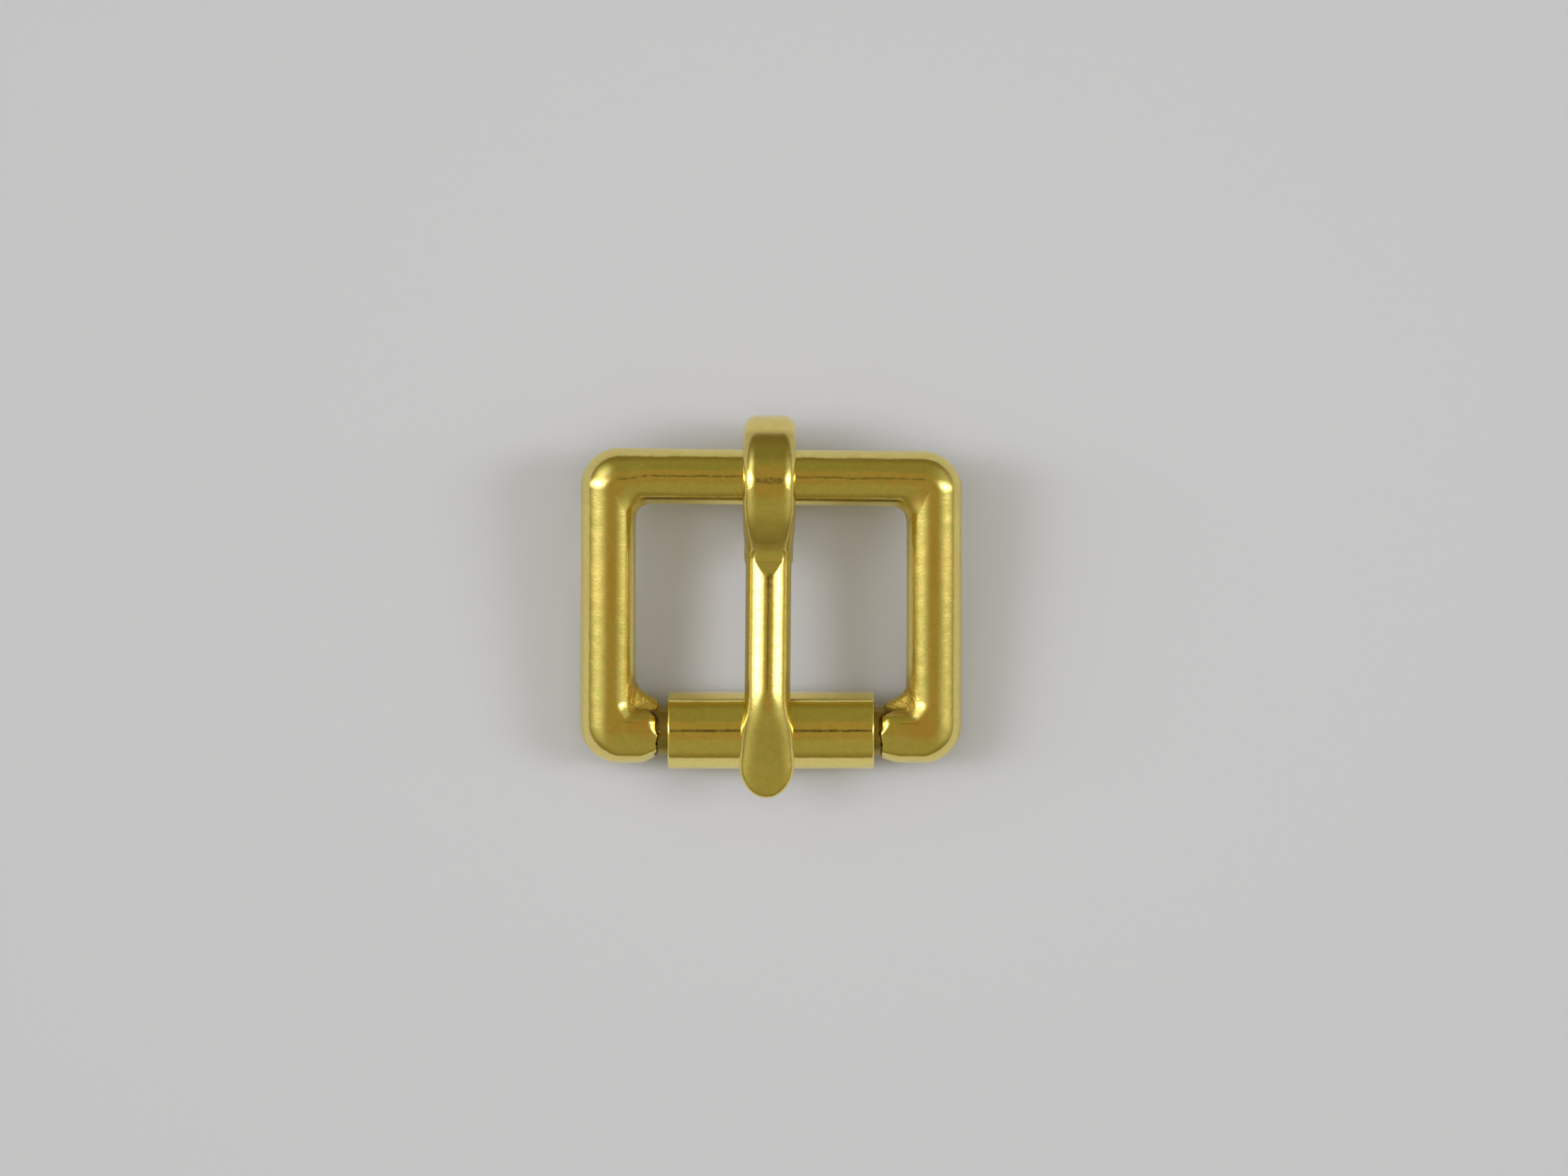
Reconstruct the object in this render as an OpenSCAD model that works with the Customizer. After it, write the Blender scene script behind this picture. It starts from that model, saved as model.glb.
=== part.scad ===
// Roller buckle for a narrow strap: a one-piece cast frame with an axle
// across its front, a roller that turns on the axle, and a cast tongue
// whose loop is closed round the heel bar.
// It lies as it would by itself on a flat surface: the roller and the
// underside of the tongue's loop carry it, so the frame slopes a little
// up towards the heel bar and the tongue lies level over the roller.
// Millimetres. +X across the strap, +Y from the roller towards the heel
// bar, +Z up, origin on the surface under the middle of the buckle.

/* [Strap and gauge] */
// Clear width between the side bars, the width of the strap
strap_w = 19.05; // [16:0.05:26]
// Thickness of the frame's round bars
bar_d = 3.97; // [3.6:0.01:4.2]

/* [Frame] */
// Distance from the roller's axle to the heel bar, axis to axis
bar_span = 17.95; // [17:0.05:22]
// Outer radius of the four corners
corner_r = 2.8; // [2.3:0.1:3.4]
// Radius inside the two heel corners
inner_r = 0.95; // [0.5:0.05:1.4]
// Reach of the cast webs inside the two roller corners
web_reach = 1.55; // [0.8:0.05:2]
// Diameter of the axle between the two stubs
axle_d = 3.6; // [3.2:0.02:3.62]
// Clear length between the ends of the two stubs
axle_len = 16.05; // [15.6:0.05:16.5]
// How far the roller corners stand out past the axle
stub_drop = 0.36; // [0:0.02:0.5]
// Rounding of the stubs' ends
stub_round = 0.75; // [0.3:0.05:1.2]

/* [Roller] */
// Outside diameter of the roller
roller_d = 5.45; // [5.2:0.05:5.6]
// Bore of the roller
roller_bore = 3.76; // [3.7:0.02:3.9]
// Length of the roller
roller_len = 14.55; // [13.5:0.05:15.2]
// Rounding of the roller's outer edges
roller_edge = 0.16; // [0.05:0.01:0.3]
// Width of the butt seam where the roller's sheet closes
seam_w = 0.12; // [0.08:0.01:0.2]

/* [Tongue] */
// Length of the tongue over all
tongue_len = 27; // [26:0.1:29]
// Outside diameter of the loop
loop_d = 9.34; // [9:0.02:9.6]
// Room between the heel bar and the loop's bore, on the radius
loop_play = 0.1; // [0.05:0.01:0.2]
// How far the loop's outside is set forward of its bore
loop_shift = 0.28; // [0:0.02:0.4]
// Width of the loop's band
band_w = 3.74; // [3.4:0.02:4.2]
// Rounding of the band's outer edges
band_edge = 1.2; // [0.6:0.05:1.4]
// Radius of the arch where the band comes down to the shank
arch_r = 6.6; // [6:0.1:7.4]
// Diameter of the shank
shank_d = 3.25; // [3:0.05:3.5]
// Height of the shank's crest above the heel bar's axis
shank_rise = 2.48; // [2.4:0.02:2.6]
// Width of the flattened tip
tip_w = 3.92; // [3.4:0.02:4.4]
// Room between the tongue's tip and the roller
tip_play = 0.07; // [0.05:0.01:0.12]

/* [Hidden] */
$fn = 96;
brass = [0.80, 0.68, 0.28];
brass_dull = [0.72, 0.60, 0.24];

bar_r = bar_d / 2;
axle_r = axle_d / 2;
roller_r = roller_d / 2;
loop_r = loop_d / 2;
bore_r = bar_r + loop_play;
shank_r = shank_d / 2;

side_x = strap_w / 2 + bar_r;      // axis of a side bar
elbow_r = corner_r - bar_r;        // radius of a corner's centre line
stub_x = axle_len / 2;             // end of a stub

// The loop's underside and the roller's underside both lie on z = 0
heel_z = loop_r;
slope = asin((heel_z - roller_r) / bar_span);
heel_y = tongue_len / 2 + loop_shift - loop_r;
roller_y = heel_y - bar_span * cos(slope);
tip_y = -tongue_len / 2;

// The arch, measured forward of the heel bar's axis and up from it
arch_turn = 44;
arch_end = [loop_shift + arch_r * sin(arch_turn),
            loop_r - arch_r * (1 - cos(arch_turn))];
// The filed notch between the arch and the shank: foot of the step, valley, run-out
notch_foot = [arch_end[0] + 0.45, arch_end[1] - 0.64];
notch_low = [notch_foot[0] + 0.24, shank_rise - 0.385];
notch_out = [notch_low[0] + 1.26, shank_rise];

// Sections of the tip, from the shank to the end: distance from the tip's
// end, height of the top and of the underside over the roller's axis, how
// far it has flared from the shank's width to the tip's, its share of that
// width, and how square its corners are (2 is an ellipse)
tip_rows = [
    // y,    top,   under, flare, share, square
    [7.35,  4.400, 1.200, 0.00, 0.98, 2.0],
    [6.85,  4.385, 1.190, 0.00, 0.99, 2.0],
    [6.30,  4.310, 1.180, 0.04, 1.00, 2.1],
    [5.70,  4.160, 1.190, 0.30, 1.00, 2.2],
    [5.10,  3.935, 1.200, 0.72, 1.00, 2.3],
    [4.50,  3.675, 1.200, 0.95, 1.00, 2.4],
    [3.80,  3.380, 1.200, 1.00, 1.00, 2.5],
    [3.00,  3.075, 1.200, 1.00, 1.00, 2.5],
    [2.30,  2.815, 1.200, 1.00, 0.99, 2.5],
    [1.65,  2.585, 1.215, 1.00, 0.97, 2.5],
    [1.20,  2.425, 1.230, 1.00, 0.90, 2.4],
    [0.80,  2.275, 1.255, 1.00, 0.75, 2.4],
    [0.45,  2.120, 1.310, 1.00, 0.54, 2.3],
    [0.18,  1.945, 1.400, 1.00, 0.33, 2.2],
    [0.00,  1.740, 1.560, 1.00, 0.15, 2.0]
];
tip_sides = 28;

// ---- helpers ----------------------------------------------------------

// Stand a drawing of the side view (Y across, Z up) up and give it a width
module slab(w) {
    rotate([90, 0, 90]) linear_extrude(height = w, center = true) children();
}

// Lay a cylinder along X
module bar_x(r, len) {
    rotate([0, 90, 0]) cylinder(r = r, h = len, center = true);
}

// From the frame's own plane to where it lies: the axle's axis is the origin
module lying() {
    translate([0, roller_y, roller_r]) rotate([slope, 0, 0]) children();
}

// Do a thing for the left and the right half
module both() {
    children();
    mirror([1, 0, 0]) children();
}

// ---- frame ------------------------------------------------------------

// A corner between a bar along +X and a bar along +Y, its centre line's
// centre at the origin
module elbow() {
    rotate([0, 0, 180]) rotate_extrude(angle = 90)
        intersection() {
            translate([elbow_r, 0]) circle(r = bar_r);
            translate([0, -bar_r - 1]) square([corner_r + 1, bar_d + 2]);
        }
}

// A stub with a rounded end, from the corner to its end face
module stub() {
    len = side_x - elbow_r - stub_x;
    translate([-side_x + elbow_r, 0, 0]) rotate([0, 90, 0])
        rotate_extrude() union() {
            square([bar_r - stub_round, len]);
            square([bar_r, len - stub_round]);
            translate([bar_r - stub_round, len - stub_round]) intersection() {
                circle(r = stub_round);
                square([stub_round, stub_round]);
            }
        }
}

// A concave web in the corner of the window, between two bars
module inner_web(reach, thick) {
    linear_extrude(height = thick, center = true) difference() {
        translate([-0.8, -0.8]) square([reach + 0.8, reach + 0.8]);
        translate([reach, reach]) circle(r = reach);
    }
}

module half_frame() {
    // side bar
    translate([-side_x, -stub_drop + elbow_r, 0]) rotate([-90, 0, 0])
        cylinder(r = bar_r, h = bar_span + stub_drop - 2 * elbow_r);
    // roller corner and heel corner
    translate([-side_x + elbow_r, -stub_drop + elbow_r, 0]) elbow();
    translate([-side_x + elbow_r, bar_span - elbow_r, 0])
        mirror([0, 1, 0]) elbow();
    translate([0, -stub_drop, 0]) stub();
    // inside the heel corner and the roller corner
    translate([-strap_w / 2, bar_span - bar_r, 0])
        mirror([0, 1, 0]) inner_web(inner_r, 1.6);
    translate([-strap_w / 2, -stub_drop + bar_r, 0]) inner_web(web_reach, 2.0);
}

module frame() {
    color(brass) lying() union() {
        both() half_frame();
        // heel bar and axle
        translate([0, bar_span, 0]) bar_x(bar_r, 2 * (side_x - elbow_r));
        bar_x(axle_r, axle_len + 1.5);
    }
}

// ---- roller -----------------------------------------------------------

module roller() {
    wall = roller_r - roller_bore / 2;
    color(brass_dull) translate([0, roller_y, roller_r]) difference() {
        rotate([0, 90, 0]) rotate_extrude() union() {
            translate([roller_bore / 2, -roller_len / 2])
                square([wall - roller_edge, roller_len]);
            translate([roller_bore / 2, -roller_len / 2 + roller_edge])
                square([wall, roller_len - 2 * roller_edge]);
            for (end = [-1, 1])
                translate([roller_r - roller_edge, end * (roller_len / 2 - roller_edge)])
                    circle(r = roller_edge);
        }
        // the seam lies underneath, a little in front of the line of rest
        rotate([-20, 0, 0]) translate([0, 0, -roller_r])
            cube([roller_len + 1, seam_w, 3], center = true);
    }
}

// ---- tongue -----------------------------------------------------------

// The band's section, drawn from the loop's axis outwards
module band_section(r_out) {
    w = band_w / 2;
    e = band_edge;
    union() {
        translate([r_out - 2.7, -w]) square([2.7 - e, band_w]);
        translate([r_out - 2.7, -w + e]) square([2.7, band_w - 2 * e]);
        for (s = [-1, 1]) translate([r_out - e, s * (w - e)]) circle(r = e);
    }
}

// A turn of the band in the side view, about a point so far forward of and
// above the heel bar's axis, from an angle (0 is back, 90 is up) onwards
module band_turn(centre, r_out, from, turn) {
    translate([0, -centre[0], centre[1]]) rotate([90, 0, 90])
        rotate([0, 0, from]) rotate_extrude(angle = turn) band_section(r_out);
}

// Plan of the arch, which narrows from the band to the shank
module arch_plan() {
    linear_extrude(height = 20, center = true) polygon([
        [-2.2, 2], [-2.2, -1.2], [-1.87, -1.7], [-1.72, -3.0], [-1.52, -4.2],
        [-1.42, -5.0], [-1.5, -5.6], [-1.6, -7],
        [1.6, -7], [1.5, -5.6], [1.42, -5.0],
        [1.52, -4.2], [1.72, -3.0], [1.87, -1.7], [2.2, -1.2], [2.2, 2]
    ]);
}

// The side view of the shank's top where the notch is filed, as what is cut
module notch_cut() {
    slab(6) polygon([
        [-arch_end[0], arch_end[1]],
        [-notch_foot[0], notch_foot[1]],
        [-notch_low[0], notch_low[1]],
        [-notch_out[0] - 0.01, notch_out[1] + 0.003],
        [-notch_out[0] - 0.01, arch_end[1] + 1],
        [-arch_end[0], arch_end[1] + 1]
    ]);
}

// The root: what fills between the arch's end, the loop and the shank
module root() {
    slab(band_w) polygon([
        [-2.6, 3.2], [-arch_end[0], arch_end[1]],
        [-notch_foot[0], notch_foot[1]], [-notch_low[0], notch_low[1]],
        [-notch_low[0] - 0.5, 1.2], [-notch_low[0] - 0.9, -0.3],
        [-4.4, -1.75], [-2.6, -1.2]
    ]);
}

function sgn_pow(v, p) = sign(v) * pow(abs(v), p);

// One section of the tip as a ring of points
function tip_ring(r) =
    let (half_w = (shank_r + (tip_w / 2 - shank_r) * r[3]) * r[4],
         mid = roller_r + (r[1] + r[2]) / 2,
         half_h = (r[1] - r[2]) / 2)
    [for (i = [0 : tip_sides - 1])
        let (a = 360 * i / tip_sides)
        [half_w * sgn_pow(cos(a), 2 / r[5]), tip_y + r[0],
         mid + half_h * sgn_pow(sin(a), 2 / r[5])]];

module tip() {
    m = tip_sides;
    n = len(tip_rows);
    polyhedron(
        points = [for (r = tip_rows) each tip_ring(r)],
        faces = concat(
            [[for (i = [0 : m - 1]) i]],
            [for (k = [0 : n - 2]) for (i = [0 : m - 1])
                let (j = (i + 1) % m)
                each [[k * m + i, (k + 1) * m + j, k * m + j],
                      [k * m + i, (k + 1) * m + i, (k + 1) * m + j]]],
            [[for (i = [m - 1 : -1 : 0]) (n - 1) * m + i]]));
}

module tongue() {
    shank_front = tip_y + 7.35;
    shank_back = heel_y - 4.3;
    color(brass) difference() {
        union() {
            translate([0, heel_y, heel_z]) {
                // the ring of the loop and the arch in front of it
                band_turn([loop_shift, 0], loop_r, 0, 360);
                intersection() {
                    union() {
                        band_turn([loop_shift, loop_r - arch_r], arch_r, 90, arch_turn);
                        root();
                    }
                    arch_plan();
                }
                difference() {
                    translate([0, -4.3, shank_rise - shank_r]) rotate([90, 0, 0])
                        cylinder(r = shank_r, h = shank_back - shank_front);
                    notch_cut();
                }
            }
            tip();
        }
        // the bore round the heel bar
        translate([0, heel_y, heel_z]) bar_x(bore_r, 10);
        // the loop's end closes against the shank's underside
        translate([0, heel_y - 3.4, heel_z + shank_rise - shank_d - 0.3])
            cube([10, 3.4, 0.12], center = true);
        // the saddle over the roller
        translate([0, roller_y, roller_r]) bar_x(roller_r + tip_play, 10);
    }
}

frame();
roller();
tongue();
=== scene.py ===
import math

import bpy
import numpy as np
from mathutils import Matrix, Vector


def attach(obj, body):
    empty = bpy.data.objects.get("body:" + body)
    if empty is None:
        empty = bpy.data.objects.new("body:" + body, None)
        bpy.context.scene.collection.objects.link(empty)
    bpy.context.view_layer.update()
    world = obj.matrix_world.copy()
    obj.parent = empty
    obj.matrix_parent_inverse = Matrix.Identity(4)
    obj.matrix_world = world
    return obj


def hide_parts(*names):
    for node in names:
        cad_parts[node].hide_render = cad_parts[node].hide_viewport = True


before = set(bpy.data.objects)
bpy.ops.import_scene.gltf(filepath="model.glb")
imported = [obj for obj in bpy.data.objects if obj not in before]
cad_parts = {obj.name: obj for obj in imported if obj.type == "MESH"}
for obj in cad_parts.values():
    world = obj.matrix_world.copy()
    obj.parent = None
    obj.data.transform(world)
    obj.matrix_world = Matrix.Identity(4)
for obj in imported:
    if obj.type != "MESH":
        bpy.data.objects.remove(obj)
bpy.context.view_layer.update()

# All shapes below are worked out in millimetres, in the part's own frame:
# +X across the strap, +Y towards the heel bar, +Z up from the surface.
MM = 0.001
HEEL_Y, HEEL_Z = 9.11, 4.67
ROLL_Y, ROLL_Z = -8.734312, 2.725
TIP_Y = -13.5
SLOPE = math.radians(6.2206)
SPAN = 17.95
SIDE_X = 11.51
DROP = 0.36
BAR_R = 1.985
SKIN = 0.014  # how far the detailed skin stays inside the plain sizes


# ---------------------------------------------------------------- helpers


def smin(a, b, k):
    h = np.maximum(k - np.abs(a - b), 0.0) / np.maximum(k, 1e-9)
    return np.minimum(a, b) - h * h * k * 0.25


def smax(a, b, k):
    return -smin(-a, -b, k)


def both_in(a, b, r):
    """Inside a and inside b, with the edge between them rounded."""
    return (
        np.minimum(np.maximum(a + r, b + r), 0.0)
        + np.hypot(np.maximum(a + r, 0.0), np.maximum(b + r, 0.0))
        - r
    )


def ramp(lo, hi, v):
    t = np.clip((v - lo) / (hi - lo), 0.0, 1.0)
    return t * t * (3.0 - 2.0 * t)


def bell(v, mid, wide):
    return np.exp(-(((v - mid) / wide) ** 2))


def waves(seed, count, shortest, longest):
    rng = np.random.RandomState(seed)
    d = rng.normal(size=(count, 3))
    d /= np.linalg.norm(d, axis=1)[:, None]
    length = np.exp(rng.uniform(math.log(shortest), math.log(longest), count))
    return d * (2 * math.pi / length)[:, None], rng.uniform(0, 2 * math.pi, count)


def ripple(p, w):
    """Smooth noise of about unit size."""
    return np.sin(p @ w[0].T + w[1]).sum(1) * math.sqrt(2.0 / len(w[1]))


def slope_of(field, p, eps=0.004):
    g = np.empty_like(p)
    for i in range(3):
        step = np.zeros(3)
        step[i] = eps
        g[:, i] = (field(p + step) - field(p - step)) / (2 * eps)
    return g


def skin_of(field, fine, lo, hi, h):
    """The closed surface where a field is zero, as points and quads. fine is the same field with its small detail."""
    lo, hi = np.array(lo, float), np.array(hi, float)
    n = np.ceil((hi - lo) / h).astype(int) + 1
    ax = [lo[i] + h * np.arange(n[i]) for i in range(3)]
    values = np.empty(n, np.float32)
    yy, zz = np.meshgrid(ax[1], ax[2], indexing="ij")
    for i0 in range(0, n[0], 8):
        xs = ax[0][i0 : i0 + 8]
        p = np.empty((len(xs), yy.size, 3))
        p[:, :, 0] = xs[:, None]
        p[:, :, 1] = yy.ravel()
        p[:, :, 2] = zz.ravel()
        values[i0 : i0 + len(xs)] = field(p.reshape(-1, 3)).reshape(len(xs), n[1], n[2])
    inside = values < 0
    count = np.zeros(n - 1, np.int8)
    for a in (0, 1):
        for b in (0, 1):
            for c in (0, 1):
                count += inside[
                    a : n[0] - 1 + a, b : n[1] - 1 + b, c : n[2] - 1 + c
                ]
    mixed = (count > 0) & (count < 8)
    cell = np.argwhere(mixed)
    index = np.full(n - 1, -1, np.int64)
    index[mixed] = np.arange(len(cell))
    total, hits = np.zeros((len(cell), 3)), np.zeros(len(cell))
    corners = [(a, b, c) for a in (0, 1) for b in (0, 1) for c in (0, 1)]
    for a in corners:
        for axis in range(3):
            if a[axis]:
                continue
            b = list(a)
            b[axis] = 1
            va = values[cell[:, 0] + a[0], cell[:, 1] + a[1], cell[:, 2] + a[2]]
            vb = values[cell[:, 0] + b[0], cell[:, 1] + b[1], cell[:, 2] + b[2]]
            cross = (va < 0) != (vb < 0)
            t = np.where(cross, va / np.where(cross, va - vb, 1.0), 0.0)
            q = np.repeat(np.array(a, float)[None], len(cell), 0)
            q[:, axis] += t
            total += q * cross[:, None]
            hits += cross
    p = lo + h * (cell + total / hits[:, None])
    faces = []
    for axis in range(3):
        u, v = (axis + 1) % 3, (axis + 2) % 3
        first = [slice(None)] * 3
        second = [slice(None)] * 3
        first[axis], second[axis] = slice(0, -1), slice(1, None)
        change = inside[tuple(first)] != inside[tuple(second)]
        g = np.argwhere(change)
        g = g[(g[:, u] > 0) & (g[:, v] > 0) & (g[:, u] < n[u] - 1) & (g[:, v] < n[v] - 1)]
        quad = []
        for du, dv in ((0, 0), (-1, 0), (-1, -1), (0, -1)):
            c = g.copy()
            c[:, u] += du
            c[:, v] += dv
            quad.append(index[c[:, 0], c[:, 1], c[:, 2]])
        quad = np.stack(quad, 1)
        away = inside[g[:, 0], g[:, 1], g[:, 2]]
        quad[~away] = quad[~away][:, ::-1]
        faces.append(quad)
    faces = np.concatenate(faces)
    start = p.copy()
    for _ in range(4):
        g = slope_of(fine, p)
        d = fine(p)
        p = p - g * (d / np.maximum((g * g).sum(1), 0.05))[:, None]
        p = start + np.clip(p - start, -0.8 * h, 0.8 * h)
    g = slope_of(fine, p)
    return p, faces, g / np.maximum(np.linalg.norm(g, axis=1), 1e-9)[:, None]


def piece_of(name, points, faces, normals, marks, body, node, material):
    """A Blender mesh from points in millimetres, with its own smooth normals and named point values."""
    mesh = bpy.data.meshes.new(name)
    mesh.vertices.add(len(points))
    mesh.vertices.foreach_set("co", (points * MM).astype(np.float32).ravel())
    k = faces.shape[1]
    mesh.loops.add(faces.size)
    mesh.loops.foreach_set("vertex_index", faces.ravel().astype(np.int32))
    mesh.polygons.add(len(faces))
    mesh.polygons.foreach_set("loop_start", np.arange(0, faces.size, k, dtype=np.int32))
    mesh.polygons.foreach_set("use_smooth", np.ones(len(faces), bool))
    mesh.update(calc_edges=True)
    for mark, value in marks.items():
        a = mesh.attributes.new(mark, "FLOAT", "POINT")
        a.data.foreach_set("value", np.clip(value, 0, 1).astype(np.float32))
    mesh.normals_split_custom_set_from_vertices(normals.astype(np.float32))
    mesh.materials.append(material)
    obj = bpy.data.objects.new(name, mesh)
    bpy.context.scene.collection.objects.link(obj)
    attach(obj, body)
    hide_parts(node)
    return obj


# ---------------------------------------------------------------- frame
# Worked out in the frame's own plane: the axle's axis is the X axis, the
# side bars run along +Y to the heel bar.

CAST = waves(3, 26, 0.8, 4.5)
GRAIN = waves(5, 60, 0.16, 0.42)
LUMPS = waves(7, 24, 0.45, 0.9)
HEEL = waves(9, 30, 0.45, 1.6)


def path_depth(x, y):
    """How far inside the buckle's centre line a point lies, in plan, with round corners outside and soft ones inside."""
    a, b, c = SIDE_X - x, SPAN - y, y + DROP
    r = 0.815

    def corner(s, t, k):
        u, v = np.maximum(r - s, 0), np.maximum(r - t, 0)
        plain = r - np.hypot(u, v) - np.minimum(np.maximum(r - s, r - t), 0)
        soft = k * ramp(0.0, 1.1, np.minimum(s, t)) + 1e-6
        h = np.maximum(soft - np.abs(s - t), 0) / soft
        return plain - h * h * soft * 0.25

    heel = corner(a, b, 1.15)
    front = np.where(x > 7.4, corner(a, c, 0.28), 99.0)
    return np.minimum(heel, front)


def stub_end(left, y, z):
    """Where a stub ends: a slightly slanted face with a round shoulder towards the window."""
    flat = np.where(left, 7.76 + 0.063 * np.clip(y, -1.2, 1.2), 7.38 - 0.03 * np.clip(y, -2.0, 1.2))
    bend = np.where(left, 1.05, 0.70)
    past = np.clip(y - np.where(left, 0.80, 0.85), 0, 0.97 * bend)
    shoulder = bend - np.sqrt(bend**2 - past**2)
    return flat + z * z / 40.0 + shoulder - 0.25 * left * np.maximum(-1.2 - y, 0) ** 2


def frame_parts(p):
    left = p[:, 0] < 0
    x, z = np.abs(p[:, 0]), p[:, 2]
    y = p[:, 1] + 0.0105 * p[:, 0] * ramp(8.0, 17.0, p[:, 1])
    # the left bar leans a little
    x = x + left * ramp(8.6, 10.4, x) * 0.09 * ramp(1.0, 17.0, y)
    r = BAR_R - SKIN - 0.028 * np.maximum(9.6 - x, 0) ** 2 * (y < 3.2)
    depth = path_depth(x, y)
    # the crests of the stubs, and a little those of the bars, sit towards the window
    over = (z + np.sqrt(z * z + 0.09)) * 0.5 - 0.15
    skew = np.where(left, 0.12, 0.03) * ramp(8.6, 10.4, x)
    stub = ramp(2.3, 0.2, y) * ramp(11.9, 10.3, x)
    shear = np.where(left, 0.53, 0.44) * (0.5 + 0.5 * ramp(-1.7, 0.1, depth))
    depth = depth - over * (skew * (1 - stub) + shear * stub)
    # the stubs' outer sides taper towards their ends
    taper = np.where(left, 0.31, 0.115) * np.maximum(9.4 - x, 0) ** 2 * (y < 3.2)
    square = 2 + 0.8 * stub
    solid = (np.abs(depth) ** square + np.abs(z) ** square) ** (1 / square)
    solid = solid - r + taper * ramp(-0.6, -1.8, depth) * ramp(1.7, 0.8, z)
    e = stub_end(left, y, z)
    zone = (x < 9.8) & (y < 3.2)
    round_end = np.where(left, 0.28 + 0.52 * ramp(-0.4, 0.6, y), 0.38 + 0.62 * ramp(-0.3, 0.7, y))
    face = np.where(left, 7.86, 7.62) + 0.20 * ramp(0.5, -0.7, y)
    end = np.maximum(both_in(solid, e - x, round_end), face - x)
    solid = np.where(zone, end, solid)
    # the cast web in the roller corner
    t = x - 7.9
    top = np.where(left, 2.12 + 0.38 * t + 0.19 * t * t, 1.74 + 0.57 * t + 0.04 * t * t)
    lean = np.where(left, 0.38 + 0.38 * t, 0.57 + 0.08 * t)
    edge = (y - top) / np.sqrt(1 + lean * lean)
    web = both_in(edge, np.abs(z) - (0.60 + 0.40 * np.clip(-edge, 0, 1.5)), 0.35)
    web = both_in(web, 7.94 - x, 0.25)
    web = np.maximum(web, np.maximum(x - 11.0, -0.5 - y))
    web = np.where((x < 11.5) & (y < 5.0), web, 99.0)
    return left, x, y, z, depth, e, solid, web


def frame_field(p):
    left, x, y, z, depth, e, solid, web = frame_parts(p)
    whole = smin(solid, web, 0.38)
    neck = 1 + 0.07 * ramp(7.0, 7.22, x)
    axle = np.maximum(np.hypot(p[:, 1], z * neck) - (1.8 - SKIN), x - 9.0)
    return np.minimum(whole, axle)


def frame_rough(p):
    """Where the casting is left rough: the webs and the flanks beside them."""
    left, x, y, z, depth, e, solid, web = frame_parts(p)
    near = ramp(1.15, 0.2, web - solid) * ramp(0.95, 1.25, depth)
    flank = ramp(5.2, 3.3, y) * ramp(1.5, 1.85, depth) * (x > 9.0)
    return np.clip(np.maximum(near, flank * 0.9) * ramp(7.9, 8.0, x), 0, 1)


def frame_dull(p):
    """Where the cast skin is smooth but never saw the polisher: the insides of the heel corners."""
    left, x, y, z, depth, e, solid, web = frame_parts(p)
    return ramp(1.6, 0.5, np.abs((SIDE_X - x) - (SPAN - y))) * ramp(1.25, 1.7, depth) * (y > 13)


def frame_grime_and_shade(p):
    """Soiling on the axle; painted shade at each stub's end next to the axle, along the seam where each web meets the
    casting and in a thin line along the heel bar's lower side; and the heel bar's outer side painted darker.
    """
    left, x, y, z, depth, e, solid, web = frame_parts(p)
    r = np.hypot(p[:, 1], z)
    axle = 0.72 * ramp(1.84, 1.81, r) * ramp(8.9, 8.7, x) * (solid > 0.03)
    # painted shade: a dark line at each stub's end, next to the axle
    joint_shade = ramp(0.20, 0.06, solid) * ramp(1.84, 1.81, r) * ramp(8.6, 8.4, x)
    # painted shade: the heel bar's outer side darkened, standing in for the shaded floor it reflects
    back = 0.5 * ramp(1.1, 1.5, -depth) * (y > 16.0) * (z > -1.0)
    # painted shade along the crease where each web meets the casting
    seam = 0.55 * bell(web - solid, 0.0, 0.10) * ramp(1.0, 1.3, depth) * ramp(10.2, 9.3, x)
    # painted shade: a thin dark line along the heel bar's lower side, in place of the shade it reflects there
    under_shade = 0.75 * bell(depth, 1.43, 0.095) * (z > 0) * (y > 14) * ramp(9.3, 8.7, x)
    seam = np.maximum(np.maximum(seam * (x > 8.0), under_shade), 0.22 * back)
    return np.clip(np.maximum(np.maximum(axle, joint_shade), seam), 0, 1)


def frame_fine(p):
    d = frame_field(p)
    rough = frame_rough(p)
    d = d + 0.0016 * ripple(p, CAST) + 0.002
    heel = ramp(15.6, 16.6, p[:, 1]) * ramp(10.6, 9.6, np.abs(p[:, 0]))
    d = d + heel * 0.0022 * ripple(p, HEEL)
    return d + rough * (0.006 * ripple(p, GRAIN) + 0.007 * ripple(p, LUMPS) + 0.006)


# ---------------------------------------------------------------- tongue
# f is how far in front of the heel bar's axis a point lies, u how far above.

FLOW = waves(11, 24, 0.9, 4.0)
HAND = waves(13, 40, 0.25, 0.7)
TIP_D = [0.0, 0.8, 1.65, 2.3, 3.0, 3.8, 4.5, 5.1, 5.7, 6.3, 6.85, 7.4, 7.9, 8.4]
TIP_MID = [1.65, 1.765, 1.90, 2.008, 2.138, 2.29, 2.438, 2.568, 2.675, 2.745, 2.782, 2.796, 2.80, 2.80]
TIP_HIGH = [0.66, 0.67, 0.714, 0.8075, 0.9375, 1.09, 1.2375, 1.3675, 1.485, 1.565, 1.604, 1.621, 1.625, 1.625]
TIP_WIDE = [1.94, 1.95, 1.955, 1.96, 1.96, 1.955, 1.935, 1.875, 1.755, 1.665, 1.635, 1.627, 1.625, 1.625]
TIP_POW = [2.35, 2.35, 2.35, 2.35, 2.35, 2.35, 2.3, 2.25, 2.16, 2.08, 2.03, 2.01, 2.0, 2.0]


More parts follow.
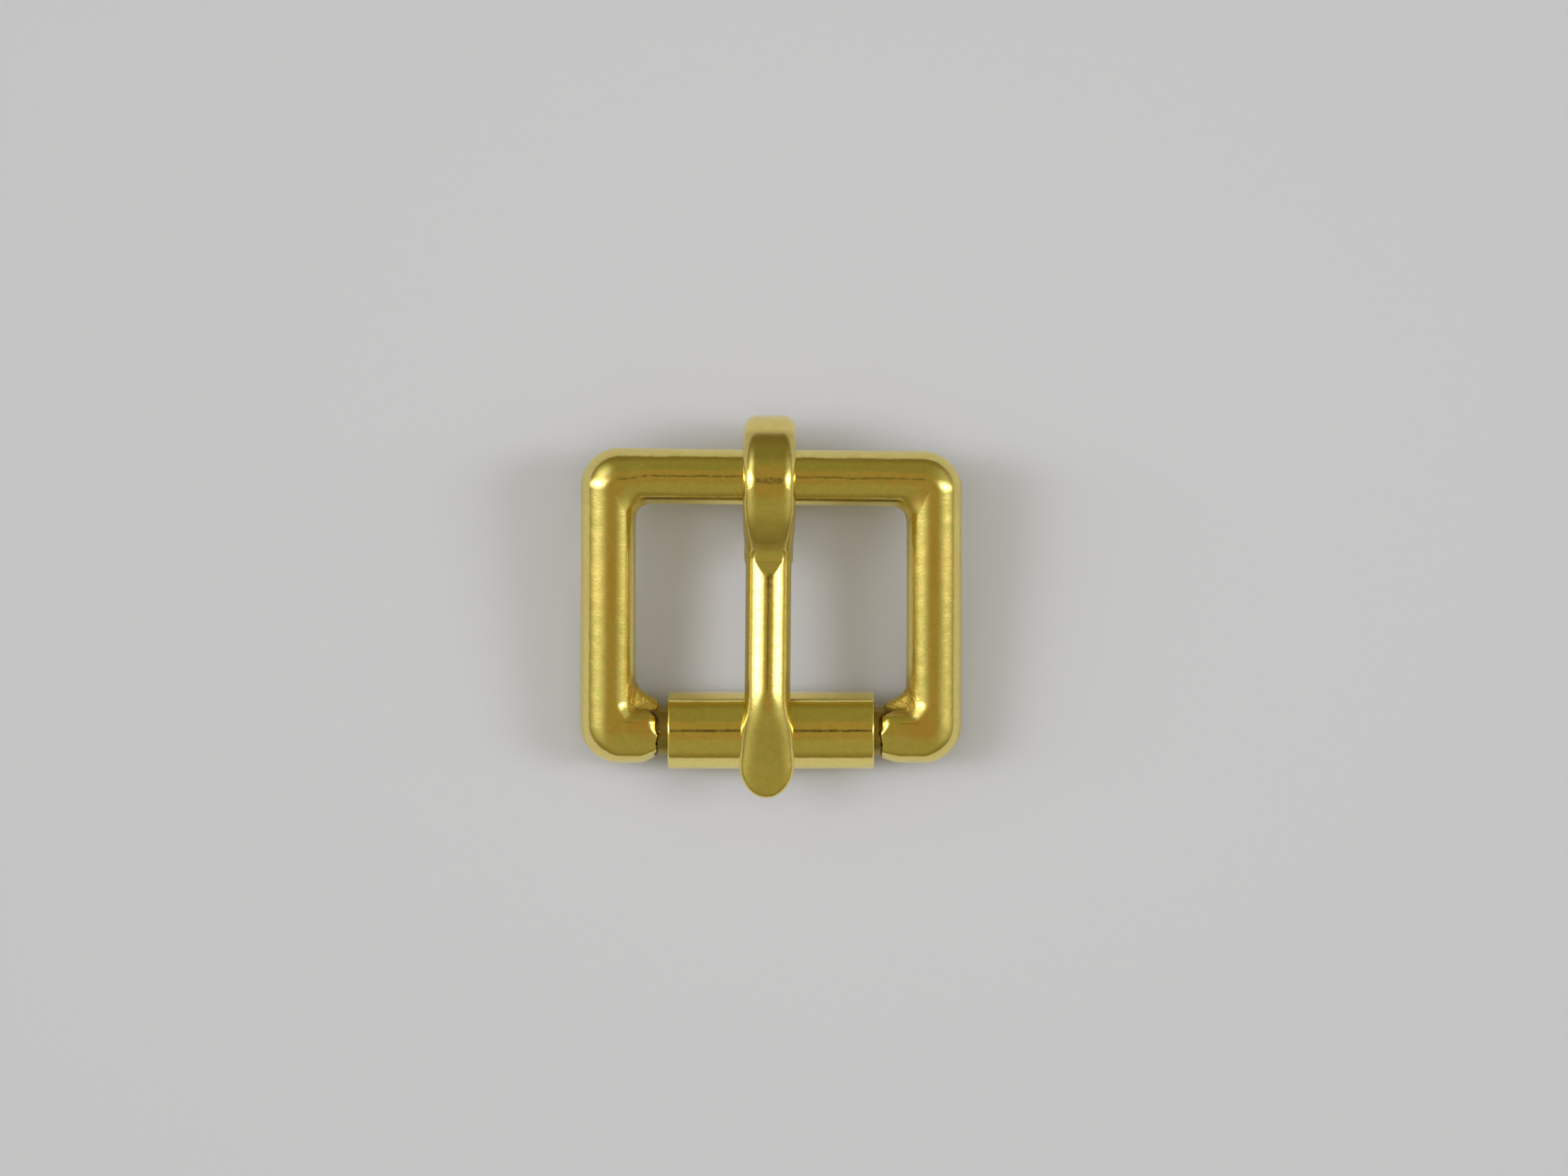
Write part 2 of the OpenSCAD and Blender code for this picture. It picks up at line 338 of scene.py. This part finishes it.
def along(v, at, table):
    """A smooth curve through a short table (Catmull-Rom on an uneven grid)."""
    at, table = np.array(at), np.array(table)
    m = np.gradient(table, at)
    i = np.clip(np.searchsorted(at, v) - 1, 0, len(at) - 2)
    w = at[i + 1] - at[i]
    t = np.clip((v - at[i]) / w, 0, 1)
    return (
        (2 * t**3 - 3 * t**2 + 1) * table[i]
        + (t**3 - 2 * t**2 + t) * w * m[i]
        + (-2 * t**3 + 3 * t**2) * table[i + 1]
        + (t**3 - t**2) * w * m[i + 1]
    )


def tongue_axes(p):
    """The real tongue sits a little askew on its bar: the same place with that turn taken out."""
    turn = math.radians(0.55)
    x = p[:, 0] + 0.10
    y = p[:, 1] - HEEL_Y
    return x * math.cos(turn) - y * math.sin(turn), p[:, 1], p[:, 2]


NOTCH_F = [4.30, 4.55, 4.74, 4.85, 5.00, 5.15, 5.30, 5.45, 5.58, 5.70, 5.82, 6.06, 6.37, 6.69, 6.95, 7.3]
NOTCH_U = [3.36, 3.06, 2.83, 2.69, 2.535, 2.405, 2.295, 2.21, 2.155, 2.125, 2.13, 2.215, 2.32, 2.415, 2.48, 2.57]
ARCH_F = [0.0, 0.9, 1.5, 2.26, 3.0, 3.61, 4.3, 4.8, 5.36, 6.0, 6.8]
ARCH_WIDE = [1.86, 1.85, 1.73, 1.52, 1.37, 1.29, 1.215, 1.20, 1.29, 1.45, 1.60]
ARCH_EDGE = [0.95, 0.95, 0.88, 0.66, 0.44, 0.32, 0.28, 0.28, 0.30, 0.34, 0.34]
SIDE_F = [0.0, 1.3, 2.06, 3.56, 5.06, 6.31, 7.5]
SIDE_W = [1.86, 1.86, 1.855, 1.81, 1.715, 1.65, 1.615]


def tongue_field(p):
    x, y, z = tongue_axes(p)
    x = np.abs(x)
    f, u = HEEL_Y - y, z - HEEL_Z
    skin = SKIN
    # the ring of the loop
    ring = np.hypot(f - 0.28, u) - (4.67 - skin)
    ring = both_in(ring, x - 1.86, 0.95)
    # the arch: two arcs that follow on from the crest
    front = (f - 1.779) * 0.9613 - (u - 4.459) * 0.2756
    arc = np.where(
        front < 0,
        np.hypot(f - 0.28, u + 0.77) - (5.44 - skin),
        np.hypot(f + 0.288, u + 2.751) - (7.5 - skin),
    )
    # its flat top has soft edges, and below them the flanks swell out to the full width
    ff = np.clip(f, 0.0, 6.8)
    wide = along(ff, ARCH_F, ARCH_WIDE)
    full = along(ff, SIDE_F, SIDE_W)
    edge = along(ff, ARCH_F, ARCH_EDGE)
    swell = np.maximum(full - wide, 0.0)
    deep = np.sqrt(np.maximum(2.8 * swell - swell**2, 0.0))
    t = np.clip(deep + arc, 0.0, 1.39)
    flank = x - (full - 1.4 + np.sqrt(1.96 - t * t))
    flank = flank * np.sqrt(1 - (t / 1.4) ** 2)
    arch = both_in(arc, flank, edge)
    arch = np.maximum(arch, np.maximum(0.28 - f, f - 5.9))
    arch = np.maximum(arch, 0.6 - u)
    # the root between the loop's end and the shank
    side = np.maximum(
        np.maximum((f - 5.95) * 0.94 + (u - 1.2) * 0.30, (f - 5.85) * 0.72 - (u + 0.9) * 0.69),
        np.maximum(2.0 - f, u - 1.45 + 0.15 * (f - 4)),
    )
    side = np.maximum(side, -(u + 1.75) - 0.28 * (f - 4.4))
    root = both_in(side, x - full, 0.45)
    # the shank, and the tip over the roller
    shank = np.hypot(x, u - 0.855) - (1.625 - 0.008)
    d = y - TIP_Y
    dd = np.clip(d, 0, 8.4)
    half_w = along(dd, TIP_D, TIP_WIDE) - 0.008
    half_h = along(dd, TIP_D, TIP_HIGH) - 0.008
    mid = along(dd, TIP_D, TIP_MID)
    power = along(dd, TIP_D, TIP_POW)
    q = (
        (x / half_w) ** power + (np.abs(z - ROLL_Z - mid) / half_h) ** power
    ) ** (1.0 / power)
    e = np.maximum((2.31 - (d - 0.012)) / 2.31, 0)
    tip = (np.sqrt(q * q + e**1.86) - 1.0) * np.minimum(half_w, half_h)
    share = ramp(8.3, 6.9, d)
    shank = np.where(share <= 0, shank, np.where(share >= 1, tip, shank + share * (tip - shank)))
    shank = np.maximum(shank, 4.3 - f)
    body = smin(arch, ring, 0.16 * ramp(2.4, 3.6, f) + 1e-6)
    body = smin(body, root, 0.3)
    body = smax(body, x - full, 0.03)
    body = smin(body, shank, 0.14 + 0.14 * bell(f, 5.5, 0.9))
    # the filed notch in front of the arch
    ff = np.clip(f, 4.30, 7.3)
    cut = along(ff, NOTCH_F, NOTCH_U)
    lean = (along(ff + 0.02, NOTCH_F, NOTCH_U) - along(ff - 0.02, NOTCH_F, NOTCH_U)) / 0.04
    cut = (u - cut) / np.sqrt(1 + lean**2)
    cut = np.where((f > 4.30) & (f < 7.3), cut, -9.0)
    body = smax(body, cut, 0.06)
    # the bore, the closed end of the loop, the saddle over the roller
    body = smax(body, 2.085 - np.hypot(f, u), 0.22)
    slit = np.maximum(np.abs(u + 1.07) - 0.05, np.maximum(1.9 - f, f - 5.6))
    body = smax(body, -slit, 0.05)
    return smax(body, 2.8 - np.hypot(y - ROLL_Y, z - ROLL_Z), 0.12)


def tongue_fine(p):
    d = tongue_field(p) + 0.0013 * ripple(p, FLOW) + 0.0004 * ripple(p, HAND) + 0.002
    # two shallow dents and a nick on the crest
    for x, y, wide, deep in ((0.02, 8.86, 0.20, 0.008), (-0.62, 8.96, 0.16, 0.004), (0.55, 8.80, 0.15, 0.005)):
        far = ((p[:, 0] - x) / wide) ** 2 + ((p[:, 1] - y) / wide) ** 2
        d = d + deep * np.exp(-far) * (p[:, 2] > 8.0)
    return d


# ---------------------------------------------------------------- roller

ROLL_R, ROLL_HALF, ROLL_EDGE, ROLL_BORE = 2.725 - 0.004, 7.275, 0.16, 1.88
SHEET = waves(17, 24, 1.2, 6.0)


def roller_field(p):
    r = np.hypot(p[:, 1], p[:, 2])
    outer = both_in(r - ROLL_R, np.abs(p[:, 0]) - ROLL_HALF, ROLL_EDGE)
    return np.maximum(outer, ROLL_BORE - r) + 0.0022 * ripple(p, SHEET) + 0.0015


def roller_skin():
    """The rolled sheet as one closed turn, from one lip of its seam to the other."""
    a = ROLL_HALF - ROLL_EDGE
    xs = np.concatenate([np.linspace(-a, a, 61)])
    out = [(x, ROLL_R) for x in xs]
    bend = [
        (a + ROLL_EDGE * math.sin(t), ROLL_R - ROLL_EDGE + ROLL_EDGE * math.cos(t))
        for t in np.linspace(0, math.pi / 2, 9)[1:]
    ]
    end = [(ROLL_HALF, r) for r in np.linspace(ROLL_R - ROLL_EDGE, ROLL_BORE, 5)[1:]]
    inner = [(x, ROLL_BORE) for x in np.linspace(ROLL_HALF, -ROLL_HALF, 31)[1:]]
    back = [(-x, r) for x, r in reversed(bend)]
    rise = [(-ROLL_HALF, r) for r in np.linspace(ROLL_BORE, ROLL_R - ROLL_EDGE, 5)[1:-1]]
    loop = np.array(out + bend + end + inner + rise + back)
    m = len(loop)
    gap = math.radians(1.25)
    seam = math.radians(-90 - 20)
    turn = np.concatenate([[0.0, 0.004, 0.012], np.linspace(0.03, 1, 241)[:-1]])
    turn = np.concatenate([turn[turn < 0.5], 1 - turn[turn < 0.5][::-1]])
    angle = seam + gap + turn * (2 * math.pi - 2 * gap)
    lip = np.minimum(turn, 1 - turn) * 2 * math.pi * ROLL_R
    fall = 0.07 * np.maximum(1 - lip / 0.10, 0) ** 2
    pts = []
    for t, drop in zip(angle, fall):
        r = loop[:, 1] - drop * (loop[:, 1] > ROLL_R - 0.05)
        pts.append(np.stack([loop[:, 0], r * math.cos(t), r * math.sin(t)], 1))
    n = len(angle)
    p = np.concatenate(pts)
    i = np.arange(n - 1)[:, None] * m + np.arange(m)[None]
    j = np.arange(n - 1)[:, None] * m + (np.arange(m)[None] + 1) % m
    quads = np.stack([i, j, j + m, i + m], -1).reshape(-1, 4)
    return p, quads[:, ::-1], m, n


# ---------------------------------------------------------------- materials


def node_tree(name):
    mat = bpy.data.materials.new(name)
    mat.use_nodes = True
    t = mat.node_tree
    t.nodes.clear()
    out = t.nodes.new("ShaderNodeOutputMaterial")
    bsdf = t.nodes.new("ShaderNodeBsdfPrincipled")
    t.links.new(bsdf.outputs[0], out.inputs[0])
    return mat, t, bsdf


class Nodes:
    def __init__(self, tree):
        self.t = tree

    def put(self, socket, value):
        if isinstance(value, bpy.types.NodeSocket):
            self.t.links.new(value, socket)
        elif value is not None:
            socket.default_value = value

    def maths(self, op, a, b=None, c=None, clamp=False):
        n = self.t.nodes.new("ShaderNodeMath")
        n.operation = op
        n.use_clamp = clamp
        for s, v in zip(n.inputs, (a, b, c)):
            self.put(s, v)
        return n.outputs[0]

    def dot(self, a, v):
        n = self.t.nodes.new("ShaderNodeVectorMath")
        n.operation = "DOT_PRODUCT"
        self.put(n.inputs[0], a)
        n.inputs[1].default_value = v
        return n.outputs["Value"]

    def apart(self, a, v):
        n = self.t.nodes.new("ShaderNodeVectorMath")
        n.operation = "DISTANCE"
        self.put(n.inputs[0], a)
        n.inputs[1].default_value = v
        return n.outputs["Value"]

    def scaled(self, a, v):
        n = self.t.nodes.new("ShaderNodeVectorMath")
        n.operation = "MULTIPLY"
        self.put(n.inputs[0], a)
        n.inputs[1].default_value = v
        return n.outputs[0]

    def noise(self, vector, scale, detail=2.0, rough=0.5, distort=0.0):
        n = self.t.nodes.new("ShaderNodeTexNoise")
        n.noise_dimensions = "3D"
        self.put(n.inputs["Vector"], vector)
        n.inputs["Scale"].default_value = scale
        n.inputs["Detail"].default_value = detail
        n.inputs["Roughness"].default_value = rough
        n.inputs["Distortion"].default_value = distort
        return n.outputs["Fac"]

    def span(self, v, a, b, c=0.0, d=1.0, smooth=True):
        n = self.t.nodes.new("ShaderNodeMapRange")
        n.interpolation_type = "SMOOTHSTEP" if smooth else "LINEAR"
        n.clamp = True
        self.put(n.inputs[0], v)
        for s, w in zip(n.inputs[1:5], (a, b, c, d)):
            s.default_value = w
        return n.outputs[0]

    def mixed(self, fac, a, b, kind="MIX"):
        n = self.t.nodes.new("ShaderNodeMix")
        n.data_type = "RGBA"
        n.blend_type = kind
        n.clamp_result = False
        self.put(n.inputs[0], fac)
        self.put(n.inputs[6], a if not isinstance(a, tuple) else (*a, 1))
        self.put(n.inputs[7], b if not isinstance(b, tuple) else (*b, 1))
        return n.outputs[2]

    def named(self, mark):
        n = self.t.nodes.new("ShaderNodeAttribute")
        n.attribute_type = "GEOMETRY"
        n.attribute_name = mark
        return n.outputs["Fac"]


BRASS = (0.90, 0.755, 0.245)


def brass(name, body, gloss, marks=(), pits=(), stains=(), grime_and_shade=(), clean=0.0):
    """Solid polished brass: fine tumbled grain, faint wipe marks, patches of tarnish, pits, and cast skin, soiling and
    painted shade where marked.
    """
    mat, t, bsdf = node_tree(name)
    n = Nodes(t)
    where = t.nodes.new("ShaderNodeTexCoord").outputs["Object"]
    big = n.noise(where, 260.0, 3.0, 0.55, 0.4)
    mid = n.noise(where, 1100.0, 3.0, 0.6, 0.2)
    fine = n.noise(where, 5200.0, 2.0, 0.6)
    grain = n.noise(where, 12500.0, 1.0, 0.5)
    wipe = n.noise(n.scaled(where, (900.0, 5200.0, 900.0)), 1.0, 2.0, 0.6)
    rough = n.named("rough") if "rough" in marks else None
    tarnish = n.span(n.maths("ADD", n.maths("MULTIPLY", big, 0.65), n.maths("MULTIPLY", mid, 0.35)), 0.50, 0.68, 0.0, 0.32)
    for at, size, much in stains:
        spot = n.span(n.maths("ADD", n.apart(where, tuple(v * MM for v in at)), n.maths("MULTIPLY", n.maths("SUBTRACT", mid, 0.5), 0.0008)), size * MM, size * MM * 0.25, 0.0, much)
        tarnish = n.maths("MAXIMUM", tarnish, spot)
    metal = tuple(v * (1.0 + 0.08 * clean) for v in BRASS)
    mottle = n.noise(where, 2300.0, 3.0, 0.62, 0.3)
    colour = n.mixed(n.span(mottle, 0.36, 0.64, 0.0, 1.0), tuple(v * w for v, w in zip(metal, (0.92, 0.965, 0.85))), tuple(v * w for v, w in zip(metal, (1.05, 0.996, 1.065))))
    colour = n.mixed(tarnish, colour, (0.88, 0.60, 0.17))
    if "filed" in marks:
        # tarnish and painted shade where marked: darker gold patches on the tongue
        patina_and_shade = n.named("patina_and_shade")
        patchy = n.maths("MULTIPLY", patina_and_shade, n.span(n.maths("ADD", mid, n.maths("MULTIPLY", patina_and_shade, 0.3)), 0.45, 0.78, 0.55, 1.0))
        colour = n.mixed(patchy, colour, (0.66, 0.53, 0.165))
    if rough is not None:
        colour = n.mixed(n.maths("MULTIPLY", rough, 0.9), colour, (0.67, 0.475, 0.10))
    level = n.maths("ADD", gloss, n.maths("MULTIPLY", n.maths("SUBTRACT", mid, 0.5), 0.06))
    level = n.maths("ADD", level, n.maths("MULTIPLY", tarnish, 0.10))
    if rough is not None:
        level = n.maths("ADD", level, n.maths("MULTIPLY", rough, 0.27))
        dull = n.named("dull")
        colour = n.mixed(n.maths("MULTIPLY", dull, 0.7), colour, (0.76, 0.57, 0.13))
        level = n.maths("ADD", level, n.maths("MULTIPLY", dull, 0.24))
        # soiling and painted shade where the frame is marked: darkens the colour towards dark brown and roughens it
        dirt_and_shade = n.named("grime_and_shade")
        cloudy = n.maths("MULTIPLY", dirt_and_shade, n.span(n.maths("ADD", mid, n.maths("MULTIPLY", dirt_and_shade, 0.35)), 0.35, 0.75, 0.55, 1.0))
        colour = n.mixed(cloudy, colour, (0.17, 0.105, 0.03))
        level = n.maths("ADD", level, n.maths("MULTIPLY", dirt_and_shade, 0.25))
    height = n.maths("ADD", n.maths("MULTIPLY", fine, 3.2e-6), n.maths("MULTIPLY", grain, 1.0e-6))
    height = n.maths("ADD", height, n.maths("MULTIPLY", mid, 6.0e-6))
    height = n.maths("ADD", height, n.maths("MULTIPLY", wipe, 1.6e-6))
    if rough is not None:
        coarse = n.noise(where, 7000.0, 3.0, 0.6, 0.5)
        height = n.maths("ADD", height, n.maths("MULTIPLY", rough, n.maths("MULTIPLY", coarse, 4.2e-5)))
    if "filed" in marks:
        filed = n.named("filed")
        lines = n.noise(n.scaled(where, (260.0, 9000.0, 2600.0)), 1.0, 2.0, 0.7, 0.15)
        height = n.maths("ADD", height, n.maths("MULTIPLY", filed, n.maths("MULTIPLY", lines, 1.7e-5)))
        level = n.maths("ADD", level, n.maths("MULTIPLY", filed, 0.16))
        level = n.maths("ADD", level, n.maths("MULTIPLY", patina_and_shade, 0.08))
    dark = None
    for at, size in pits:
        hole = n.span(n.apart(where, tuple(v * MM for v in at)), size * MM, size * MM * 0.3)
        dark = hole if dark is None else n.maths("MAXIMUM", dark, hole)
    if dark is not None:
        colour = n.mixed(n.maths("MULTIPLY", dark, 0.75), colour, (0.12, 0.075, 0.02))
        height = n.maths("SUBTRACT", height, n.maths("MULTIPLY", dark, 6.0e-6))
        level = n.maths("ADD", level, n.maths("MULTIPLY", dark, 0.35))
    # dark soiled spots at the listed places
    for at, size, much in grime_and_shade:
        spot = n.span(n.maths("ADD", n.apart(where, tuple(v * MM for v in at)), n.maths("MULTIPLY", n.maths("SUBTRACT", mid, 0.5), 0.0005)), size * MM, size * MM * 0.2, 0.0, much)
        colour = n.mixed(spot, colour, (0.20, 0.13, 0.04))
    bump = t.nodes.new("ShaderNodeBump")
    bump.inputs["Strength"].default_value = 1.0
    bump.inputs["Distance"].default_value = 1.0
    t.links.new(height, bump.inputs["Height"])
    t.links.new(bump.outputs[0], bsdf.inputs["Normal"])
    t.links.new(colour, bsdf.inputs["Base Color"])
    t.links.new(n.maths("MAXIMUM", level, 0.05), bsdf.inputs["Roughness"])
    bsdf.inputs["Metallic"].default_value = 1.0
    return mat


frame_brass = brass(
    "frame_brass",
    "frame",
    0.14,
    marks=("rough",),
    pits=[
        ((-10.42, 9.05, 6.6), 0.11),
        ((-8.52, 9.2, 6.62), 0.08),
        ((12.52, 7.95, 6.1), 0.09),
        ((12.38, 7.6, 6.1), 0.07),
    ],
    stains=[
        ((-9.1, -8.5, 4.7), 1.3, 0.75),
        ((10.6, -8.75, 4.6), 1.3, 0.75),
        ((10.4, 7.6, 6.4), 1.2, 0.6),
        ((-11.4, 1.5, 5.8), 3.4, 0.35),
        ((11.7, 3.5, 6.0), 2.6, 0.35),
    ],
)
roller_brass = brass("roller_brass", "roller", 0.10, clean=0.9)
tongue_brass = brass(
    "tongue_brass",
    "tongue",
    0.14,
    marks=("filed",),
    grime_and_shade=[((-0.06, 2.12, 7.15), 0.34, 0.6), ((-0.07, 1.45, 7.15), 0.34, 0.35), ((-0.08, 0.8, 7.15), 0.28, 0.2)],
)

# ---------------------------------------------------------------- build it

points, quads, normals = skin_of(
    frame_field, frame_fine, (-13.75, -2.75, -2.3), (13.75, 20.3, 2.3), 0.131
)
marks = {"rough": frame_rough(points), "dull": frame_dull(points), "grime_and_shade": frame_grime_and_shade(points)}
c, s = math.cos(SLOPE), math.sin(SLOPE)
spin = np.array([[1, 0, 0], [0, c, s], [0, -s, c]])
piece_of(
    "frame_casting",
    points @ spin + np.array([0, ROLL_Y, ROLL_Z]),
    quads,
    normals @ spin,
    marks,
    "frame",
    "frame",
    frame_brass,
)

points, quads, normals = skin_of(
    tongue_field, tongue_fine, (-2.45, -13.8, -0.3), (2.45, 13.8, 9.6), 0.098
)
f, u = HEEL_Y - points[:, 1], points[:, 2] - HEEL_Z
cut = u - along(np.clip(f, 4.30, 7.3), NOTCH_F, NOTCH_U)
filed = ramp(0.06, 0.01, np.abs(cut)) * ramp(4.68, 4.80, f) * ramp(7.2, 6.9, f)
across = np.abs(points[:, 0] + 0.1)
facing = ramp(0.10, 0.45, normals[:, 2])
# darker marks on the tongue: painted shade on the loop's back, on the shank's flanks and in the notch's crease; darker
# patches on the arch's front and along the tip's crest
patina_and_shade = 0.9 * ramp(-3.45, -2.9, f) * ramp(-0.75, -1.5, f) * ramp(1.4, 2.4, u) * facing
patina_and_shade = np.maximum(patina_and_shade, 0.8 * ramp(2.3, 3.5, f) * ramp(5.2, 4.7, f) * ramp(0.9, 2.0, u) * facing)
patina_and_shade = np.maximum(patina_and_shade, 0.75 * ramp(0.62, 0.86, np.abs(normals[:, 0])) * ramp(-1.5, 2.5, f) * ramp(18.0, 15.5, f))
patina_and_shade = np.maximum(patina_and_shade, 0.8 * bell(f, 4.92, 0.16) * ramp(1.4, 2.2, u) * facing)
patina_and_shade = np.maximum(patina_and_shade, 0.30 * ramp(16.5, 18.2, f) * ramp(20.6, 19.4, f) * ramp(1.2, 0.6, across))
piece_of(
    "tongue_casting",
    points,
    quads,
    normals,
    {"filed": filed, "patina_and_shade": patina_and_shade},
    "tongue",
    "tongue",
    tongue_brass,
)

points, quads, m, n = roller_skin()
normals = slope_of(roller_field, points)
normals /= np.maximum(np.linalg.norm(normals, axis=1), 1e-9)[:, None]
points = points + np.array([0, ROLL_Y, ROLL_Z])
roller = piece_of(
    "roller_sheet",
    points,
    quads,
    normals,
    {},
    "roller",
    "roller",
    roller_brass,
)

# ---------------------------------------------------------------- stage

bpy.ops.mesh.primitive_plane_add(size=4.0, location=(0, 0, 0))
floor = bpy.context.object
floor.name = "floor"
mat, t, bsdf = node_tree("pale_surface")
n = Nodes(t)
where = t.nodes.new("ShaderNodeTexCoord").outputs["Object"]
speck = n.noise(where, 2600.0, 3.0, 0.6)
cloud = n.noise(where, 14.0, 2.0, 0.5)
# painted light: the surface is a little lighter within 85 mm of the centre, a faint pool of light
out = n.span(n.apart(where, (0.004, 0.004, 0.0)), 0.0, 0.085, 0.0, 1.0, smooth=False)
tone = n.mixed(out, (0.592, 0.605, 0.70), (0.565, 0.577, 0.668))
shade = n.maths("ADD", n.maths("MULTIPLY", speck, 0.035), n.maths("MULTIPLY", cloud, 0.03))
tone = n.mixed(shade, tone, (0.48, 0.48, 0.50))
t.links.new(tone, bsdf.inputs["Base Color"])
bsdf.inputs["Roughness"].default_value = 0.9
bsdf.inputs["Specular IOR Level"].default_value = 0.2
floor.data.materials.append(mat)

# The room: a dim warm ceiling with the dark disc of a lens straight above,
# olive walls, and a soft lamp on either side.
world = bpy.data.worlds.new("room")
bpy.context.scene.world = world
world.use_nodes = True
t = world.node_tree
t.nodes.clear()
n = Nodes(t)
way = t.nodes.new("ShaderNodeTexCoord").outputs["Generated"]
up = n.dot(way, (0, 0, 1))
side = n.dot(way, (0, 1, 0))
wall = n.mixed(n.span(side, -0.35, 0.35), (0.32, 0.295, 0.145), (0.25, 0.235, 0.095))
skirt = n.mixed(n.span(side, -0.35, 0.35), (0.21, 0.175, 0.075), (0.18, 0.145, 0.05))
wall = n.mixed(n.span(up, 0.02, 0.5), skirt, wall)
room = n.mixed(n.span(up, 0.865, 0.915), wall, (0.325, 0.25, 0.10))
lens = n.span(up, 0.9976, 0.9989)
room = n.mixed(lens, room, (0.055, 0.05, 0.03))


def lamp(azimuth, height, wide, tall, power):
    """A soft patch of light: where it is, in degrees from +X towards +Y and up, its two spreads and its strength."""
    a, e = math.radians(azimuth), math.radians(height)
    centre = Vector((math.cos(a) * math.cos(e), math.sin(a) * math.cos(e), math.sin(e)))
    across = Vector((-math.sin(a), math.cos(a), 0))
    tall_way = centre.cross(across)
    ahead = n.maths("MAXIMUM", n.dot(way, centre), 0.04)
    u = n.maths("DIVIDE", n.dot(way, across), n.maths("MULTIPLY", ahead, math.tan(math.radians(wide))))
    v = n.maths("DIVIDE", n.dot(way, tall_way), n.maths("MULTIPLY", ahead, math.tan(math.radians(tall))))
    r = n.maths("ADD", n.maths("MULTIPLY", u, u), n.maths("MULTIPLY", v, v))
    g = n.maths("POWER", math.e, n.maths("MULTIPLY", n.maths("MINIMUM", r, 60.0), -0.5))
    return n.maths("MULTIPLY", g, power)


total = None
for args in (
    (180 - 4.5, 33.5, 5, 18.5, 4.6),
    (180 - 28, 38, 15, 13, 0.65),
    (180 - 4, 38, 32, 19, 0.33),
    (3, 37.5, 4.6, 14, 4.6),
    (2, 29, 30, 22, 0.28),
):
    g = lamp(*args)
    total = g if total is None else n.maths("ADD", total, g)
glow = t.nodes.new("ShaderNodeBackground")
glow.inputs["Color"].default_value = (0.975, 0.985, 1.0, 1)
t.links.new(total, glow.inputs["Strength"])
walls = t.nodes.new("ShaderNodeBackground")
t.links.new(room, walls.inputs["Color"])
both = t.nodes.new("ShaderNodeAddShader")
t.links.new(glow.outputs[0], both.inputs[0])
t.links.new(walls.outputs[0], both.inputs[1])
plain = t.nodes.new("ShaderNodeBackground")
plain.inputs["Color"].default_value = (0.50, 0.505, 0.53, 1)
seen = t.nodes.new("ShaderNodeMixShader")
t.links.new(t.nodes.new("ShaderNodeLightPath").outputs["Is Camera Ray"], seen.inputs[0])
t.links.new(both.outputs[0], seen.inputs[1])
t.links.new(plain.outputs[0], seen.inputs[2])
out = t.nodes.new("ShaderNodeOutputWorld")
t.links.new(seen.outputs[0], out.inputs[0])

# soft panels overhead and behind the two lamps, which only light the surface: the metal shows the room's own lamps
for name, azimuth, height, away, size, energy, tint in (
    ("panel", 0, 90, 0.8, 0.7, 1.15, (0.96, 0.975, 1.0)),
    ("panel_left", 176, 44, 0.6, 0.26, 0.57, (0.98, 0.985, 1.0)),
    ("panel_right", 3, 37, 0.6, 0.22, 0.63, (0.98, 0.985, 1.0)),
):
    light = bpy.data.lights.new(name, "AREA")
    light.shape = "DISK"
    light.size = size
    light.energy = energy
    light.color = tint
    place = bpy.data.objects.new(name, light)
    a, e = math.radians(azimuth), math.radians(height)
    place.location = (away * math.cos(a) * math.cos(e), away * math.sin(a) * math.cos(e), away * math.sin(e))
    place.rotation_euler = place.location.to_track_quat("Z", "Y").to_euler()
    place.visible_glossy = False
    place.visible_camera = False
    bpy.context.scene.collection.objects.link(place)

camera = bpy.data.cameras.new("camera")
camera.sensor_width = 36.0
camera.lens = 36.0 * 450.0 / 110.6
camera.clip_start = 0.01
camera.clip_end = 20.0
eye = bpy.data.objects.new("camera", camera)
eye.location = (0.925 * MM, 1.325 * MM, 453.7 * MM)
bpy.context.scene.collection.objects.link(eye)
bpy.context.scene.camera = eye
bpy.context.scene.view_settings.view_transform = "Standard"
